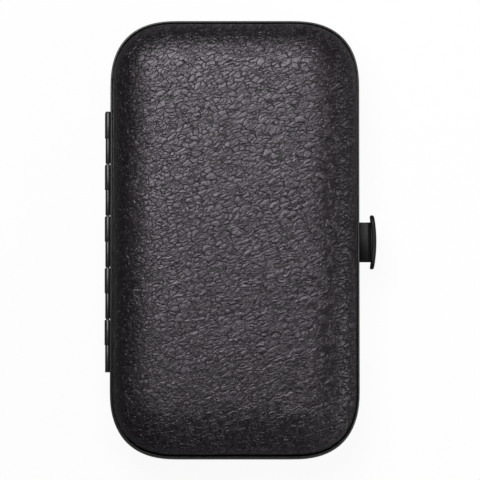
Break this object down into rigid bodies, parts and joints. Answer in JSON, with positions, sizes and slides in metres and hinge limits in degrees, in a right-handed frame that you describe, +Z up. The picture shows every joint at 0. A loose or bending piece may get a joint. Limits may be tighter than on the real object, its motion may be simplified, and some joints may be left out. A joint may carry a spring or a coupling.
{
  "type": "manicure set case",
  "caption": "Padded leatherette clamshell case with metal frames, knuckle hinge, push-button clasp and nail tools held in a tray and lid.",
  "frame": {"origin": "centre of the flat on which the closed case rests, under the middle of the base", "axes": "+Z up through the lid, +Y along the length, +X across from the hinge to the clasp"},
  "size_m": [0.0776, 0.125, 0.025],
  "materials": {
    "leatherette": "pebbled black leatherette with a soft sheen",
    "pocket_leatherette": "smooth black leatherette over card",
    "foam": "thin grey foam",
    "pressed_steel": "bare pressed sheet",
    "black_metal": "satin black lacquer",
    "black_pin": "blackened steel wire",
    "flocked_tray": "black flock on moulded plastic",
    "lining_fabric": "short black velvet",
    "plated_steel": "dull plating",
    "tool_steel": "polished",
    "satin_steel": "satin ground",
    "file_steel": "cross-cut file teeth",
    "black_plastic": "moulded gloss",
    "elastic": "woven black elastic"
  },
  "bodies": {
    "base": {"base_cover": "leatherette", "base_foam": "foam", "base_shell": "pressed_steel", "base_frame": "black_metal", "base_tray": "flocked_tray", "hinge_pin": "black_pin", "clasp_spring": "plated_steel", "clasp_housing": "plated_steel", "housing_rivets": "plated_steel", "clipper_lower_leaf": "tool_steel", "clipper_upper_leaf": "tool_steel", "clipper_rivet": "tool_steel", "tweezers": "satin_steel", "file_blade": "file_steel", "file_handle": "black_plastic", "cuticle_pusher": "satin_steel"},
    "lid": {"lid_cover": "leatherette", "lid_foam": "foam", "lid_shell": "pressed_steel", "lid_frame": "black_metal", "lid_lining": "lining_fabric", "lid_catch": "plated_steel", "catch_rivets": "plated_steel", "scissor_fixed_half": "tool_steel", "scissor_screw": "tool_steel", "scissor_strap": "elastic", "tip_pocket": "pocket_leatherette"},
    "release_button": {"release_button": "black_metal"},
    "clipper_lever": {"clipper_lever": "tool_steel", "clipper_pin": "tool_steel"},
    "scissor_moving_half": {"scissor_moving_half": "tool_steel"}
  },
  "joints": [
    {"name": "lid_hinge", "type": "hinge", "parent": "base", "child": "lid", "pos_m": [-0.03625, -0.0005, 0.0125], "axis": [0, -1, 0], "range_deg": [0, 180]},
    {"name": "button_press", "type": "slide", "parent": "base", "child": "release_button", "axis": [-1, 0, 0], "range_m": [0, 0.002], "stiffness_N_per_m": 1000, "springref_m": -0.002, "deforming": ["clasp_spring"]},
    {"name": "lever_swivel", "type": "hinge", "parent": "base", "child": "clipper_lever", "pos_m": [-0.019, 0.008, 0.0105], "axis": [0, 0, 1], "range_deg": [0, 180]},
    {"name": "scissor_pivot", "type": "hinge", "parent": "lid", "child": "scissor_moving_half", "pos_m": [-0.007, 0.009, 0.0195], "axis": [0, 0, 1], "range_deg": [0, 20]}
  ]
}
